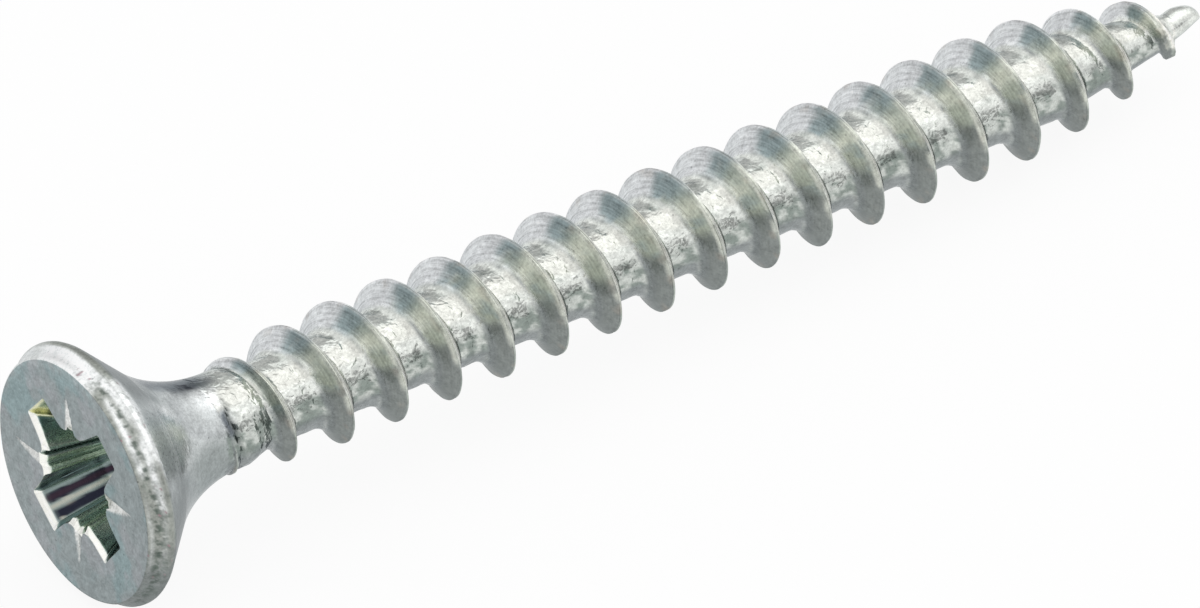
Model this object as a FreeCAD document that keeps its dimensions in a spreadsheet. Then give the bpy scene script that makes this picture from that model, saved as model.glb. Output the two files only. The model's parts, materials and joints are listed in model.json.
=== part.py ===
import FreeCAD, Part
import math
import os
import Sketcher
from FreeCAD import Vector

# A countersunk chipboard screw of the 4.0 x 40 mm size, made from one piece of wire.
#
# It is built with its origin at the centre of the head's flat face and its Z axis along the screw,
# from the head to the point. A turn about that axis is counted from the X axis.
# Two pieces make it up: the blank, turned and with the recess struck into its head, and the ridge
# of the thread, which is fused to it.
# The finished screw is then laid down as it comes to rest on a flat surface: along +X, on the rim
# of its head and on the last crest that has the thread's full diameter.

# Driving dimensions, in millimetres and degrees.
SIZES = [
    ("length", 40.0, "head's flat face to the point"),
    ("head_dia", 7.95, "rim of the head"),
    ("face_dia", 7.35, "flat of the head's face"),
    ("edge_height", 0.55, "rounded edge between face and rim"),
    ("rim_height", 0.15, "straight land below the rounded edge"),
    ("cone_angle", 90.0, "countersink, included angle"),
    ("neck_dia", 2.88, "wire left unthreaded below the head"),
    ("neck_hollow", 4.2, "radius of the hollow from cone to neck"),
    ("neck_end", 5.4, "where the neck starts to thin down to the core"),
    ("neck_step", 0.9, "length over which the neck thins down"),
    ("core_dia", 2.46, "between the threads"),
    ("thread_dia", 4.0, "over the crests"),
    ("pitch", 1.876, "crest to crest"),
    ("crest_flat", 0.12, "width of the crest"),
    ("flank_angle", 29.0, "each flank, from a line square to the axis"),
    ("hollow_height", 0.15, "hollow at the foot of a flank, up the flank"),
    ("hollow_width", 0.18, "hollow at the foot of a flank, along the core"),
    ("root_depth", 0.06, "how far the ridge reaches into the core"),
    ("thread_from", 4.79, "where the ridge leaves the neck"),
    ("run_in", 3.5, "length over which the crest rises to its full diameter"),
    ("taper_back", 6.83, "point back to the last crest of full diameter"),
    ("taper_angle", 8.6, "line of the crests towards the point, from the axis"),
    ("taper_length", 4.33, "length of the tapered thread"),
    ("last_length", 0.95, "length of the last half turn"),
    ("last_crest", 0.8, "crest where the thread ends, from the axis"),
    ("last_foot", 0.2, "foot of the ridge where the thread ends, from the axis"),
    ("core_taper_back", 5.9, "point back to where the core starts to taper"),
    ("point_back", 1.35, "length of the blunter end of the point"),
    ("point_dia", 1.04, "core where the blunter end starts"),
    ("point_flat", 0.06, "flat left on the very end"),
    ("recess_turn", -10.2, "first wing, from the X axis"),
    ("wing_span", 4.85, "tip to tip across the face"),
    ("wing_width", 1.17, "flank to flank"),
    ("wing_angle", 26.5, "ends of the wings, from the axis"),
    ("wing_depth", 1.9, "foot of the wing ends below the face"),
    ("recess_depth", 2.5, "deepest point below the face"),
    ("notch_span", 3.27, "small cross between the wings, across the face"),
    ("notch_width", 0.62, "small cross, flank to flank"),
    ("mark_from", 1.5, "foot of the marks between the wings, from the axis"),
    ("mark_to", 2.82, "sharp end of the marks, from the axis"),
    ("mark_width", 0.42, "foot of the marks, across"),
    ("mark_depth", 0.12, "marks below the face"),
]

# The thread's sides are made in pieces of half a turn, each edge a curve through this many steps.
SPANS_PER_TURN = 2
SPIRAL_STEPS = 20

# A feature that changes the volume by less than this, in cubic millimetres, has missed the solid.
LEAST_CHANGE = 0.001


class Size:
    """A number worked out from the sheet, kept with the expression that gives it."""

    def __init__(self, value, text):
        self.value = value
        self.text = text

    def __add__(self, other):
        other = sized(other)
        return Size(self.value + other.value, f"({self.text} + {other.text})")

    def __sub__(self, other):
        other = sized(other)
        return Size(self.value - other.value, f"({self.text} - {other.text})")

    def __mul__(self, other):
        other = sized(other)
        return Size(self.value * other.value, f"({self.text} * {other.text})")

    def __truediv__(self, other):
        other = sized(other)
        return Size(self.value / other.value, f"({self.text} / {other.text})")

    def __neg__(self):
        return Size(-self.value, f"(0 - {self.text})")


def sized(number):
    """A plain number as a Size."""
    return number if isinstance(number, Size) else Size(float(number), str(number))


def sin(angle):
    return Size(math.sin(math.radians(angle.value)), f"sin({angle.text})")


def cos(angle):
    return Size(math.cos(math.radians(angle.value)), f"cos({angle.text})")


def tan(angle):
    return Size(math.tan(math.radians(angle.value)), f"tan({angle.text})")


def slope_of(rise, run):
    """The angle in degrees whose tangent is rise over run."""
    value = math.degrees(math.atan2(rise.value, run.value))
    return Size(value, f"(atan({rise.text} / {run.text}) / 1 deg)")


def add_sheet(doc):
    """The sheet of driving dimensions: each row a name, a number with that alias, and a note."""
    sheet = doc.addObject("Spreadsheet::Sheet", "sizes")
    for row, (alias, number, note) in enumerate(SIZES, start=1):
        sheet.set(f"A{row}", alias)
        sheet.set(f"B{row}", str(number))
        sheet.setAlias(f"B{row}", alias)
        sheet.set(f"C{row}", note)
    doc.recompute()
    return {alias: Size(float(sheet.get(alias)), f"sizes.{alias}") for alias, number, note in SIZES}


def vector(x, y, z):
    """A vector, as an expression."""
    return f"create(<<vector>>; {sized(x).text}; {sized(y).text}; {sized(z).text})"


def rotation(axis, angle):
    """A turn about an axis, as an expression."""
    return f"create(<<rotation>>; {vector(*axis)}; {sized(angle).text})"


def placement(turned):
    """A placement at the origin, as an expression."""
    return f"create(<<placement>>; {vector(0, 0, 0)}; {turned})"


def origin_feature(body, role):
    """One of the body's own axes or planes."""
    return next(feature for feature in body.Origin.OriginFeatures if feature.Role == role)


def add_sketch(body, name, plane, turn):
    """A sketch on one of the body's planes, turned about the Z axis by an angle."""
    sketch = body.newObject("Sketcher::SketchObject", name)
    sketch.AttachmentSupport = [(origin_feature(body, plane), "")]
    sketch.MapMode = "FlatFace"
    axis = (0, 1, 0) if plane == "XZ_Plane" else (0, 0, 1)
    sketch.setExpression("AttachmentOffset", placement(rotation(axis, turn)))
    return sketch


def corner_arc(before, start, end, after, smooth_at_end):
    """An arc from start to end that leaves the one or reaches the other in line with its neighbour.

    Returns the arc and which of its own ends, 1 or 2, lie at start and at end.
    """
    fixed, free, neighbour = (end, start, after - end) if smooth_at_end else (start, end, before - start)
    square = Vector(-neighbour.y, neighbour.x, 0).normalize()
    chord = free - fixed
    centre = fixed + square * (chord.dot(chord) / (2 * chord.dot(square)))
    circle = Part.Circle(centre, Vector(0, 0, 1), (fixed - centre).Length)
    first = math.atan2(start.y - centre.y, start.x - centre.x)
    last = math.atan2(end.y - centre.y, end.x - centre.x)
    if (start - centre).cross(end - centre).z > 0:
        return Part.ArcOfCircle(circle, first, last), (1, 2)
    return Part.ArcOfCircle(circle, last, first), (2, 1)


def draw_outline(sketch, points, arcs=None):
    """A closed outline through the points, each held at its place by two distances tied to the sheet.

    arcs gives, for each side that is an arc, the side next to it that it runs smoothly into.
    """
    arcs = arcs or {}
    count = len(points)
    spots = [Vector(sized(x).value, sized(y).value, 0) for x, y in points]
    ends = []
    for side in range(count):
        start, end = spots[side], spots[(side + 1) % count]
        curve, order = Part.LineSegment(start, end), (1, 2)
        if side in arcs:
            before, after = spots[side - 1], spots[(side + 2) % count]
            curve, order = corner_arc(before, start, end, after, arcs[side] == side + 1)
        sketch.addGeometry(curve, False)
        ends.append(order)
    for side in range(count):
        following = (side + 1) % count
        smooth = arcs.get(side) == following or arcs.get(following) == side
        kind = "Tangent" if smooth else "Coincident"
        sketch.addConstraint(Sketcher.Constraint(kind, side, ends[side][1], following, ends[following][0]))
    for side, (x, y) in enumerate(points):
        for direction, distance in (("DistanceX", x), ("DistanceY", y)):
            distance = sized(distance)
            held = Sketcher.Constraint(direction, -1, 1, side, ends[side][0], distance.value)
            index = sketch.addConstraint(held)
            sketch.setExpression(f"Constraints[{index}]", distance.text)


def add_blank(body, size):
    """Head, neck, core and point, turned from one outline of radius against distance."""
    head = size["head_dia"] / 2
    neck = size["neck_dia"] / 2
    core = size["core_dia"] / 2
    rim_end = size["edge_height"] + size["rim_height"]
    slope = size["cone_angle"] / 2
    hollow = size["neck_hollow"]
    # The cone and the neck would meet here if no hollow joined them.
    meeting = rim_end + (head - neck) / tan(slope)
    hollow_end = meeting + hollow * tan(slope / 2)
    points = [
        (0, 0),
        (size["face_dia"] / 2, 0),
        (head, size["edge_height"]),
        (head, rim_end),
        (neck + hollow - hollow * cos(slope), hollow_end - hollow * sin(slope)),
        (neck, hollow_end),
        (neck, size["neck_end"]),
        (core, size["neck_end"] + size["neck_step"]),
        (core, size["length"] - size["core_taper_back"]),
        (size["point_dia"] / 2, size["length"] - size["point_back"]),
        (size["point_flat"] / 2, size["length"]),
        (0, size["length"]),
    ]
    sketch = add_sketch(body, "blank_outline", "XZ_Plane", 0)
    draw_outline(sketch, points, arcs={1: 2, 4: 5})
    turned = body.newObject("PartDesign::Revolution", "turned")
    turned.Profile = sketch
    turned.ReferenceAxis = (sketch, ["V_Axis"])
    turned.Angle = 360.0


def ridge_corners(size, at, crest, foot):
    """The thread's section where its middle is at one height: corners as radius and height.

    It is a blunt wedge. At the foot of each flank a chamfer stands for the hollow and ends just
    inside the core.
    """
    half_crest = size["crest_flat"].value / 2
    knee = foot + size["hollow_height"].value
    half_knee = half_crest + (crest - knee) * tan(size["flank_angle"]).value
    half_foot = half_knee + size["hollow_width"].value
    return [
        (foot, at - half_foot),
        (knee, at - half_knee),
        (crest, at - half_crest),
        (crest, at + half_crest),
        (knee, at + half_knee),
        (foot, at + half_foot),
    ]


def thread_stations(size):
    """Where the thread's section changes its pace: each place with its corners."""
    full = size["thread_dia"].value / 2
    neck = size["neck_dia"].value / 2
    depth = size["root_depth"].value
    height = full - size["core_dia"].value / 2 + depth
    run_in_to = size["thread_from"].value + size["run_in"].value
    taper_from = size["length"].value - size["taper_back"].value
    taper_to = taper_from + size["taper_length"].value
    taper_crest = full - size["taper_length"].value * tan(size["taper_angle"]).value
    last_to = taper_to + size["last_length"].value
    places = [
        (size["thread_from"].value, neck - depth, neck - depth - height),
        (run_in_to, full, full - height),
        (taper_from, full, full - height),
        (taper_to, taper_crest, taper_crest - height),
        (last_to, size["last_crest"].value, size["last_foot"].value),
    ]
    return [(at, ridge_corners(size, at, crest, foot)) for at, crest, foot in places]


def spiral_edge(first, last, turns):
    """A smooth edge from one corner to the next as both radius and height change evenly with the turn."""
    points = []
    for step in range(SPIRAL_STEPS + 1):
        share = step / SPIRAL_STEPS
        radius = first[0] + (last[0] - first[0]) * share
        height = first[1] + (last[1] - first[1]) * share
        turn = 2 * math.pi * (turns[0] + (turns[1] - turns[0]) * share)
        points.append(Vector(radius * math.cos(turn), radius * math.sin(turn), height))
    curve = Part.BSplineCurve()
    curve.interpolate(points)
    return curve.toShape()


def ridge_cap(corners, turn):
    """The flat end of the ridge, in the plane of the axis."""
    out = Vector(math.cos(2 * math.pi * turn), math.sin(2 * math.pi * turn), 0)
    points = [out * radius + Vector(0, 0, height) for radius, height in corners]
    return Part.Face(Part.makePolygon(points + points[:1]))


def ridge_solid(size):
    """The whole ridge as one solid, its sides ruled between spirals through the section's corners.

    No sweep along a spiral that closes in on the axis keeps its section upright, so the sides are
    made here one by one, each half a turn long or less.
    """
    stations = thread_stations(size)
    thread_from = size["thread_from"].value
    pitch = size["pitch"].value
    faces = []
    for (at, corners), (at_next, corners_next) in zip(stations, stations[1:]):
        spans = math.ceil((at_next - at) / pitch * SPANS_PER_TURN)
        for span in range(spans):
            shares = (span / spans, (span + 1) / spans)
            turns = [(at + (at_next - at) * share - thread_from) / pitch for share in shares]
            edges = []
            for here, there in zip(corners, corners_next):
                ends = [[a + (b - a) * share for a, b in zip(here, there)] for share in shares]
                edges.append(spiral_edge(ends[0], ends[1], turns))
            faces += [Part.makeRuledSurface(edges[side - 1], edges[side]) for side in range(len(edges))]
    for at, corners in (stations[0], stations[-1]):
        faces.append(ridge_cap(corners, (at - thread_from) / pitch))
    shell = Part.makeShell(faces)
    shell.sewShape()
    return Part.makeSolid(shell)


def add_cross(body, size, name, span, width, turn):
    """A cross cut into the face: one slot with sloping ends, and a second one square to it."""
    above = sized(0.5)
    half_face = span / 2
    slope = tan(size["wing_angle"])
    half_foot = half_face - size["wing_depth"] * slope
    half_above = half_face + above * slope
    points = [
        (-half_above, -above),
        (half_above, -above),
        (half_foot, size["wing_depth"]),
        (0, size["recess_depth"]),
        (-half_foot, size["wing_depth"]),
    ]
    sketch = add_sketch(body, name + "_outline", "XZ_Plane", turn)
    draw_outline(sketch, points)
    slot = body.newObject("PartDesign::Pocket", name)
    slot.Profile = sketch
    slot.SideType = "Symmetric"
    slot.setExpression("Length", width.text)
    return add_pattern(body, slot, 2, 90.0)


def add_pattern(body, feature, count, angle):
    """Copies of a cut about the Z axis, spread over the angle given."""
    pattern = body.newObject("PartDesign::PolarPattern", feature.Name + "_pattern")
    pattern.Originals = [feature]
    pattern.Axis = (origin_feature(body, "Z_Axis"), [""])
    pattern.Angle = angle
    pattern.Occurrences = count
    body.Tip = pattern
    return pattern


def add_marks(body, size):
    """Four shallow wedges struck into the face between the wings."""
    half = size["mark_width"] / 2
    sketch = add_sketch(body, "marks_outline", "XY_Plane", size["recess_turn"] + 45)
    draw_outline(sketch, [(size["mark_from"], -half), (size["mark_to"], 0), (size["mark_from"], half)])
    mark = body.newObject("PartDesign::Pocket", "mark")
    mark.Profile = sketch
    mark.Reversed = True
    mark.setExpression("Length", size["mark_depth"].text)
    return add_pattern(body, mark, 4, 360.0)


def lay_down(screw, size):
    """Lays the screw along +X as it rests: on the head's rim and on the last full crest."""
    rim_end = size["edge_height"] + size["rim_height"]
    last_full = size["length"] - size["taper_back"]
    crest_turn = (last_full - size["thread_from"]) / size["pitch"] * 360
    tilt = slope_of((size["head_dia"] - size["thread_dia"]) / 2, last_full + size["crest_flat"] / 2 - rim_end)
    # The turn about Z brings that crest to the side that the second turn makes the underside.
    laid = rotation((0, 1, 0), tilt + 90) + " * " + rotation((0, 0, 1), -crest_turn)
    screw.setExpression("Placement", placement(laid))


def check_state(doc):
    """Stops if any object of the document failed to recompute."""
    failed = [thing.Name for thing in doc.Objects if {"Invalid", "Error"} & set(thing.State)]
    if failed:
        raise RuntimeError("failed objects: " + ", ".join(failed))


def check_solid(thing):
    """Stops if an object's shape is not one valid solid."""
    shape = thing.Shape
    if shape.isNull() or not shape.isValid() or len(shape.Solids) != 1:
        raise RuntimeError(f"{thing.Name} is not one valid solid")


def check_steps(body):
    """Stops if a feature that adds adds nothing, or one that cuts cuts nothing."""
    volume = 0.0
    for feature in body.Group:
        if not feature.isDerivedFrom("PartDesign::Feature"):
            continue
        adds = feature.TypeId == "PartDesign::Revolution"
        change = feature.Shape.Volume - volume
        if (change > 0) != adds or abs(change) < LEAST_CHANGE:
            raise RuntimeError(f"{feature.Name} changes the volume by {change:.4f}")
        print(f"{feature.Name:20s} {change:+9.3f} mm3")
        volume = feature.Shape.Volume


def main():
    doc = FreeCAD.newDocument("chipboard_screw")
    size = add_sheet(doc)
    blank = doc.addObject("PartDesign::Body", "blank")
    add_blank(blank, size)
    add_cross(blank, size, "wings", size["wing_span"], size["wing_width"], size["recess_turn"])
    add_cross(blank, size, "notches", size["notch_span"], size["notch_width"], size["recess_turn"] + 45)
    add_marks(blank, size)
    thread = doc.addObject("Part::Feature", "thread")
    thread.Shape = ridge_solid(size)
    screw = doc.addObject("Part::Fuse", "screw")
    screw.Label = "screw"
    screw.Base = blank
    screw.Tool = thread
    lay_down(screw, size)
    doc.recompute()
    check_state(doc)
    check_steps(blank)
    for thing in (blank, thread, screw):
        check_solid(thing)
        print(f"{thing.Name:20s} {thing.Shape.Volume:9.3f} mm3, {len(thing.Shape.Faces)} faces")
    os.makedirs("parts", exist_ok=True)
    screw.Shape.exportStep(f"parts/{screw.Label}.step")


main()
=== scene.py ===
# %% [markdown]
# A countersunk chipboard screw lies on a white table.
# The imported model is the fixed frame: it says where the screw lies and how large it is.
# Everything here is worked out in millimetres along the screw's own axis, and only the last step puts it in
# the frame, in metres.

# %% Load the frame
import json
import math
import bpy
import numpy as np
from mathutils import Matrix, Vector


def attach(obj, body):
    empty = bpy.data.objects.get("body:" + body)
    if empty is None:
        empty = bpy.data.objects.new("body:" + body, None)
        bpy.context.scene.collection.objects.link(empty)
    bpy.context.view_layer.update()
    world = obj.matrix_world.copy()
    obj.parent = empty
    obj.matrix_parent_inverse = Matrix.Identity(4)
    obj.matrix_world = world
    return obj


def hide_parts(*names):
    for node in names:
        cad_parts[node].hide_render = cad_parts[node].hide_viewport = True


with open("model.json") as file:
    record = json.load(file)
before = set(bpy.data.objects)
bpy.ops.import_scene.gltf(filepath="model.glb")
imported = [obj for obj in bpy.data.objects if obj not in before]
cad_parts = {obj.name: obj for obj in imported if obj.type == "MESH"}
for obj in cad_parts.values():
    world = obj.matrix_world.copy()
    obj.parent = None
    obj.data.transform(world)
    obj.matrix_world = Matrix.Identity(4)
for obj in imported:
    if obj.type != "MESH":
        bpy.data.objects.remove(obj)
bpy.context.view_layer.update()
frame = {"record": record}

# %% [markdown]
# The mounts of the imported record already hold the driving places: the screw's axis, the rim of the head and
# the place where the thread starts. Reading them keeps this script in step with the model.

# %% Places taken from the record
MM = 0.001
mounts = {mount["name"]: mount for mount in frame["record"]["mounts"]}
AXIS = np.array(mounts["thread"]["axis"])
RIM_END = np.linalg.norm(mounts["countersink_seat"]["pos_m"]) / MM
THREAD_FROM = np.linalg.norm(mounts["thread"]["pos_m"]) / MM
TILT = math.atan2(-AXIS[2], AXIS[0])
print(f"tilt {math.degrees(TILT):.2f} deg, rim ends at {RIM_END:.2f} mm, thread from {THREAD_FROM:.2f} mm")

# %% [markdown]
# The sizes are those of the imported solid, up to three hundredths of a millimetre fuller at the rim, the neck
# and the core, as the outline in the picture asks for.
# A flank is given as the way along the axis for one step of height.

# %% Sizes of the screw in millimetres
LENGTH = 40.0
HEAD_RADIUS = 3.99
FACE_RADIUS = 3.69
NECK_RADIUS = 1.46
NECK_HOLLOW = 4.35
CORE_RADIUS = 1.245
THREAD_RADIUS = 2.0
PITCH = 1.876
LAST_FULL_CREST = LENGTH - 6.83
HEAD_FLANK = math.tan(math.radians(28.1))
POINT_FLANK = math.tan(math.radians(30.0))
CREST_FLAT = 0.11
HEAD_HOLLOW, POINT_HOLLOW = 0.58, 0.12
LEAF_FROM, LEAN = 38.7, 0.09
LAST_TURN = (LAST_FULL_CREST - THREAD_FROM) / PITCH
print(f"the last full crest is {LAST_TURN:.3f} turns from the start of the thread")


# %% [markdown]
# A place on the screw is a distance below the face, a radius and a turn about the axis.
# The turn is counted in whole turns from where the ridge of the thread starts.

# %% From the screw's own axis to the frame
def place(distance, radius, turn):
    """Points in metres: the turn swings the radius about the axis, the last full crest pointing down.

    The axis runs along +X and dips by the tilt, so the distance goes along it and the radius square to it.
    Near its end the screw leans a little off its axis, towards turn 0.
    """
    swing, lean_way = 2 * np.pi * (turn - LAST_TURN), -2 * np.pi * LAST_TURN
    lean = LEAN * np.clip((distance - LEAF_FROM) / (LENGTH - LEAF_FROM), 0, 1)
    down = radius * np.cos(swing) + lean * np.cos(lean_way)
    across = radius * np.sin(swing) + lean * np.sin(lean_way)
    x = distance * math.cos(TILT) - down * math.sin(TILT)
    z = -distance * math.sin(TILT) - down * math.cos(TILT)
    return np.stack([x, across + 0 * x, z], axis=-1) * MM


print("the point lies at", np.round(place(LENGTH, 0.0, 0.0) / MM, 2), "mm")


# %% [markdown]
# Rolled and struck metal is never quite even. One small function gives a soft random field to all of it.

# %% Smooth random bumps
MIX_X, MIX_Y, MIX_Z, MIX_SEED, MIX_AGAIN = 73856093, 19349663, 83492791, 2654435761, 1274126177


def lattice(cells, seed):
    """A random number from 0 to 1 for each whole-numbered cell, the same on every run."""
    mixed = cells[..., 0] * MIX_X ^ cells[..., 1] * MIX_Y ^ cells[..., 2] * MIX_Z ^ seed * MIX_SEED
    mixed = (mixed ^ (mixed >> 13)) * MIX_AGAIN & 0x7FFFFFFF
    return ((mixed ^ (mixed >> 16)) & 0xFFFF) / 65535.0


def bumps(points, size, seed):
    """Value noise from -1 to 1: the lattice numbers at a cell's eight corners, blended with an S-curve."""
    scaled = np.asarray(points, float) / size
    low = np.floor(scaled).astype(np.int64)
    share = scaled - low
    share = share * share * share * (share * (share * 6 - 15) + 10)
    total = np.zeros(scaled.shape[:-1])
    for corner in np.ndindex(2, 2, 2):
        weight = np.prod(np.where(np.array(corner) == 1, share, 1 - share), axis=-1)
        total += weight * lattice(low + np.array(corner), seed)
    return 2 * total - 1


def ramp(value, start, end):
    """0 before start, 1 after end and an S-curve between them."""
    share = np.clip((value - start) / (end - start), 0, 1)
    return share * share * (3 - 2 * share)


print("bumps run from", bumps(np.random.default_rng(1).random((2000, 3)) * 9, 1.0, 3).min().round(2), "up")

# %% [markdown]
# The head was upset from the wire: a flat face, a short bevel round it, a rim, a 90 degree cone and a hollow
# that runs into the neck. It could be spun from a drawn outline, but the thread has to grow out of it, so the
# outline is a function of the distance, which the thread's function can start from.

# %% Profile of head, neck and core
BEVEL_END = 0.52
CONE_FROM = 0.74
CONE_ANGLE = math.radians(45)
CONE_MEETS_NECK = CONE_FROM + HEAD_RADIUS - NECK_RADIUS
HOLLOW_END = CONE_MEETS_NECK + NECK_HOLLOW * math.tan(CONE_ANGLE / 2)
HOLLOW_FROM = HOLLOW_END - NECK_HOLLOW * math.sin(CONE_ANGLE)
NECK_END, CORE_FROM = 5.2, 6.3
TAPER_PLACES, TAPER_RADII = [LENGTH - 5.9, LENGTH - 1.8, LENGTH], [CORE_RADIUS, 0.60, 0.03]


def body_radius(distance):
    """Radius without the thread: 45 degree cone, an arc tangent to cone and neck, then core and point."""
    cone = HEAD_RADIUS - (distance - CONE_FROM)
    reach = np.clip(HOLLOW_END - distance, 0, NECK_HOLLOW * 0.999)
    arc = NECK_RADIUS + NECK_HOLLOW - np.sqrt(NECK_HOLLOW**2 - reach**2)
    radius = np.where(distance < HOLLOW_FROM, cone, arc)
    radius -= (NECK_RADIUS - CORE_RADIUS) * ramp(distance, NECK_END, CORE_FROM)
    taper = np.interp(distance, TAPER_PLACES, TAPER_RADII)
    return np.where(distance > TAPER_PLACES[0], taper, radius)


print("radius at 1, 3, 5, 8 and 36 mm:", body_radius(np.array([1.0, 3.0, 5.0, 8.0, 36.0])).round(3))

# %% [markdown]
# The thread is one ridge on a spiral. Its crest rises out of the neck, keeps its height, and sinks towards
# the point, where the last half turn ends like a small wing.
# Across the ridge the height is two straight flanks that flow into the core with a hollow. A profile swept
# along the spiral would cut through the neck and the point, while a height above the core simply fades out.

# %% The ridge of the thread
CREST_PLACES = [3.6, 4.35, 4.95, 5.9, 6.95, 8.5, 14.0,
                LAST_FULL_CREST, 34.66, 35.9, 37.1, 38.1, 38.56, 39.2]
CREST_RADII = [1.44, 1.47, 1.58, 1.65, 1.86, 1.965, 1.99,
               THREAD_RADIUS + 0.015, 1.84, 1.6, 1.40, 1.02, 0.84, 0.66]
WING_END = 18.04
CREST_RISE, CREST_ROUND = 0.035, 0.03
LAP_DEPTH, LAP_HALF = 0.022, 0.017


def soft_max(first, second, width):
    """The larger of two heights, rounded over where they differ by less than the width."""
    share = np.clip(0.5 + 0.5 * (first - second) / width, 0, 1)
    return second * (1 - share) + first * share + width * share * (1 - share)


def ridge_radius(across, crest, turn):
    """Crest height less the run down a flank, with a lap along the middle of the crest, as rolling leaves it.

    Towards the wing the flank on the head's side gets steeper and the crest's flat wider.
    """
    steeper = 1 - 0.45 * ramp(turn, WING_END - 0.9, WING_END - 0.4)
    flank = np.where(across < 0, HEAD_FLANK * steeper, POINT_FLANK)
    flat = CREST_FLAT / 2 + 0.10 * ramp(turn, WING_END - 0.8, WING_END)
    beyond = np.sqrt(across**2 + CREST_ROUND**2) - flat
    wander = 0.012 * np.sin(7 * turn) + 0.01 * np.sin(19.7 * turn) + 0.012
    lap = LAP_DEPTH * np.exp(-(((across - wander) / LAP_HALF) ** 2))
    return crest - np.maximum(beyond, 0) / flank - lap


def thread_radius(distance, turn, across):
    """Radius of the threaded part: the ridge, softly joined to the core, where the ridge exists.

    The dies pushed the crest a little further out on one side, so a cosine of the turn is added to it.
    The hollow at the foot is wide on the head's side, and widest at turns 0 and a half.
    """
    core = body_radius(distance)
    crest = np.interp(distance - across, CREST_PLACES, CREST_RADII)
    crest = crest + CREST_RISE * (0.5 - 0.5 * np.cos(2 * np.pi * turn)) * ramp(distance, 5.0, 7.0)
    ridge = ridge_radius(across, crest, turn)
    head_hollow = HEAD_HOLLOW * (0.85 + 0.35 * np.cos(4 * np.pi * turn))
    hollow = np.where(across < 0, head_hollow, POINT_HOLLOW) * np.clip((crest - core) / 0.7, 0.12, 1)
    joined = soft_max(core, ridge, hollow)
    there = ramp(turn, -0.42, -0.1) * (1 - ramp(turn, WING_END, WING_END + 0.04))
    return core + (joined - core) * there, core, crest


print("crest at 5, 7, 20 and 37 mm:", np.interp([5, 7, 20, 37], CREST_PLACES, CREST_RADII).round(2))

# %% [markdown]
# The recess takes a driver bit: four wings with sloping ends and four notches between them. A Boolean cut
# would leave long thin faces round its mouth, so the recess is a stack of outlines that belongs to the skin.
# Seen along the axis each wall is a straight line, so an outline is a run of corners. Each wing has its own
# angle, reach and half width, because the punch was worn. Going down, the corners move in, and the outlines
# are joined to walls.

# %% Outline of the recess
COLUMNS = 128
SPLIT = 3
HEAD_COLUMNS = SPLIT * COLUMNS
EIGHTH = HEAD_COLUMNS // 8
WINGS = [(-10.8, 2.42, 0.64), (80.0, 2.47, 0.66), (171.8, 2.46, 0.61), (261.4, 2.58, 0.56)]
WING_SLOPE, WING_DRAFT = math.tan(math.radians(26.5)), 0.045
FOOT_REACH, FOOT_HALF = 1.72, 0.70
NOTCH_CORNERS = [(1.46, 0.77), (1.34, 0.88), (1.29, 1.0), (1.34, 1.13), (1.22, 1.22)]
CORNER_STEPS = (9, 3, 14, 5, 5, 4, 4, 4)
RECESS_FOOT, RECESS_DEPTH = 1.9, 2.5
MOUTH_BEVEL = 0.12


def half_outline(reach, half, depth, inset):
    """From a wing's middle to the notch's middle: straight sides between corners, cut into even steps.

    The end slopes in with depth, the sides have a slight draft, and inset moves all sides into the hole.
    """
    end = reach - depth * WING_SLOPE - inset
    side = half - depth * WING_DRAFT - inset
    foot = min(FOOT_REACH, end - 0.2), FOOT_HALF - depth * WING_DRAFT - inset
    inward = 1 - 0.10 * depth - 0.45 * inset
    corners = [(end, 0.0), (end, side - 0.06), (end - 0.05, side), foot]
    corners += [(x * inward, y * inward) for x, y in NOTCH_CORNERS]
    runs = [np.array(corners[:1])]
    for (x0, y0), (x1, y1), count in zip(corners, corners[1:], CORNER_STEPS):
        share = np.arange(1, count + 1)[:, None] / count
        runs.append(np.array([[x0, y0]]) * (1 - share) + np.array([[x1, y1]]) * share)
    return np.concatenate(runs)


def recess_points(depth, inset):
    """All four wings at one depth as flat points: each half outline is mirrored and turned to its wing."""
    points = []
    for middle, reach, half in WINGS:
        side = half_outline(reach, half, depth, inset)
        both = np.concatenate([side[::-1] * [1, -1], side[1:]])[:-1]
        turned = math.radians(middle)
        across = np.array([[math.cos(turned), -math.sin(turned)], [math.sin(turned), math.cos(turned)]])
        points.append(both @ across.T)
    return np.roll(np.concatenate(points), -EIGHTH, axis=0)


print("points on half a wing:", 1 + sum(CORNER_STEPS))

# %% [markdown]
# At its mouth the recess has a broad bright bevel, but only on the walls that face one way, where the punch
# was worn. The way each wall faces follows from the outline, and gives the share of the bevel.

# %% Which walls have a broad bevel
WORN_WALLS = math.radians(262)
mouth = recess_points(0.0, 0.0)
along_mouth = np.roll(mouth, -1, axis=0) - np.roll(mouth, 1, axis=0)
wall_faces = np.arctan2(along_mouth[:, 0], -along_mouth[:, 1])
from_wing = (np.arange(HEAD_COLUMNS) + EIGHTH) % (2 * EIGHTH) - EIGHTH
bevel_share = ramp(np.cos(wall_faces - WORN_WALLS), 0.25, 0.75)
bevel_share = bevel_share * (1 + 1.2 * ramp(np.abs(from_wing), 27, 34))


def recess_outline(depth, inset):
    """Angle and radius round the recess; the inset is taken in full only on the walls that are worn."""
    plain, worn = recess_points(depth, 0.15 * inset), recess_points(depth, inset)
    points = plain + (worn - plain) * bevel_share[:, None]
    return np.unwrap(np.arctan2(points[:, 1], points[:, 0])), np.hypot(points[:, 0], points[:, 1])


print("points round the recess:", len(mouth), "of which on worn walls:", int((bevel_share > 0.5).sum()))

# %% [markdown]
# Between the wings the punch left four marks like thorns, shallow and pointed, two of them bent.
# Each has an angle, a reach, a bend, a start and a half width. Where the half width is negative, the mark is
# deepest at its other side.

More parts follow.
